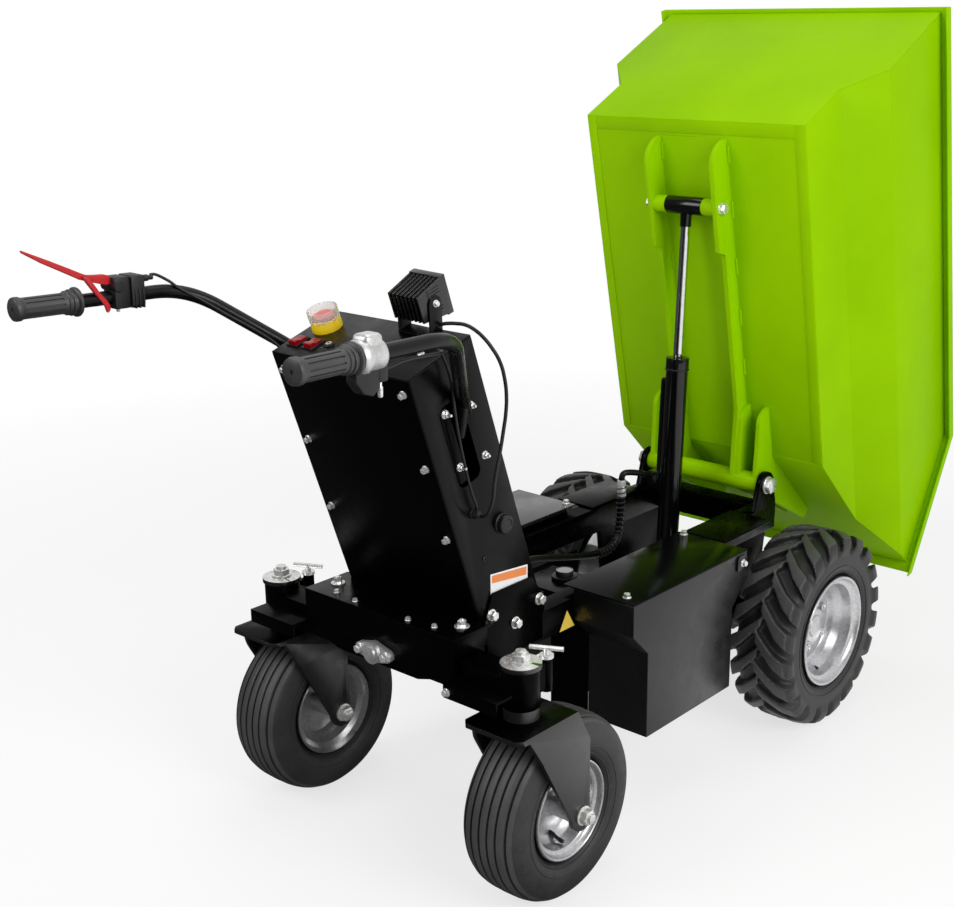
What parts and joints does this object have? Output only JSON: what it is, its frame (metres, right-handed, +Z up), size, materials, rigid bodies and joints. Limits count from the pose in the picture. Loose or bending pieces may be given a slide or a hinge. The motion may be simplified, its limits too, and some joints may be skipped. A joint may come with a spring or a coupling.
{
  "type": "walk-behind site dumper",
  "caption": "Walk-behind battery site dumper: tipping tub raised by a hydraulic cylinder, driven front wheels, swivelling rear casters and a leaning control column with handlebars.",
  "frame": {"origin": "on the floor, under the middle of the machine's length and width", "axes": "+X forwards to the tub, +Y to the left, +Z up"},
  "size_m": [1.8943, 0.77, 1.4357],
  "materials": {
    "black_paint": "semi gloss",
    "green_paint": "semi gloss",
    "tyre_rubber": "matte",
    "rim_silver": "satin silver",
    "zinc_steel": "zinc plated",
    "chrome_rod": "polished",
    "dark_casting": "painted casting",
    "black_plastic": "matte",
    "black_rubber": "matte",
    "battery_case": "matte",
    "yellow_plastic": "gloss",
    "red_plastic": "gloss",
    "silver_plastic": "satin",
    "lamp_glass": "clear"
  },
  "bodies": {
    "root": {"frame_rails": "black_paint", "cross_members": "black_paint", "hinge_pin": "zinc_steel", "drive_axle": "dark_casting", "drive_motor": "dark_casting", "cylinder_mount": "black_paint", "battery_boxes": "black_paint", "battery_lids": "black_paint", "batteries": "battery_case", "hydraulic_unit": "black_plastic", "hydraulic_hose": "black_rubber", "rear_deck": "black_paint", "pivot_bearing": "zinc_steel", "rear_axle": "black_paint", "lock_pins": "zinc_steel", "column_shell": "black_paint", "column_cover": "black_paint", "top_panel": "black_paint", "column_brackets": "black_paint", "side_fittings": "black_plastic", "stop_guard": "yellow_plastic", "stop_button": "red_plastic", "rocker_switches": "red_plastic", "lamp_bracket": "black_paint", "lamp_body": "black_plastic", "lamp_lens": "lamp_glass", "lamp_lead": "black_rubber", "handlebars": "black_paint", "grips": "black_rubber", "brake_clamp": "black_plastic", "brake_lever": "red_plastic", "throttle": "silver_plastic", "control_cables": "black_rubber"},
    "bed": {"tub_floor": "green_paint", "tub_front": "green_paint", "tub_rear": "green_paint", "tub_side_left": "green_paint", "tub_side_right": "green_paint", "tub_rim": "green_paint", "tub_bracket": "green_paint"},
    "cylinder_barrel_body": {"cylinder_barrel": "black_paint"},
    "cylinder_rod_body": {"cylinder_rod": "chrome_rod"},
    "drive_wheel_left": {"drive_tyre_left": "tyre_rubber", "drive_rim_left": "rim_silver"},
    "swivel_left": {"caster_fork_left": "black_paint", "caster_bolts_left": "zinc_steel"},
    "caster_wheel_left": {"caster_tyre_left": "tyre_rubber", "caster_rim_left": "rim_silver"},
    "drive_wheel_right": {"drive_tyre_right": "tyre_rubber", "drive_rim_right": "rim_silver"},
    "swivel_right": {"caster_fork_right": "black_paint", "caster_bolts_right": "zinc_steel"},
    "caster_wheel_right": {"caster_tyre_right": "tyre_rubber", "caster_rim_right": "rim_silver"}
  },
  "joints": [
    {"name": "bed_tip", "type": "hinge", "parent": "root", "child": "bed", "pos_m": [0.45626, 0, 0.47], "axis": [0, 1, 0], "range_deg": [-78.36, 0]},
    {"name": "cylinder_swing", "type": "hinge", "parent": "root", "child": "cylinder_barrel_body", "pos_m": [0.31326, 0, 0.3], "axis": [0, 1, 0], "range_deg": [-71, 0.2]},
    {"name": "rod_slide", "type": "slide", "parent": "cylinder_barrel_body", "child": "cylinder_rod_body", "axis": [0.0542, 0, 0.9985], "range_m": [-0.2695, 0.0005]},
    {"name": "drive_spin_left", "type": "hinge", "parent": "root", "child": "drive_wheel_left", "pos_m": [0.41126, 0.293, 0.205], "axis": [0, 1, 0], "continuous": true},
    {"name": "swivel_turn_left", "type": "hinge", "parent": "root", "child": "swivel_left", "pos_m": [-0.49474, 0.289, 0.4], "axis": [0, 0, 1], "continuous": true},
    {"name": "caster_spin_left", "type": "hinge", "parent": "swivel_left", "child": "caster_wheel_left", "pos_m": [-0.42874, 0.289, 0.163], "axis": [0, 1, 0], "continuous": true},
    {"name": "drive_spin_right", "type": "hinge", "parent": "root", "child": "drive_wheel_right", "pos_m": [0.41126, -0.293, 0.205], "axis": [0, 1, 0], "continuous": true},
    {"name": "swivel_turn_right", "type": "hinge", "parent": "root", "child": "swivel_right", "pos_m": [-0.49474, -0.289, 0.4], "axis": [0, 0, 1], "continuous": true},
    {"name": "caster_spin_right", "type": "hinge", "parent": "swivel_right", "child": "caster_wheel_right", "pos_m": [-0.42874, -0.289, 0.163], "axis": [0, 1, 0], "continuous": true}
  ],
  "couplings": [
    {"joint": "cylinder_swing", "follows": "bed_tip", "ratio": 0.89887},
    {"joint": "rod_slide", "follows": "bed_tip", "m_per_rad": 0.19585}
  ]
}
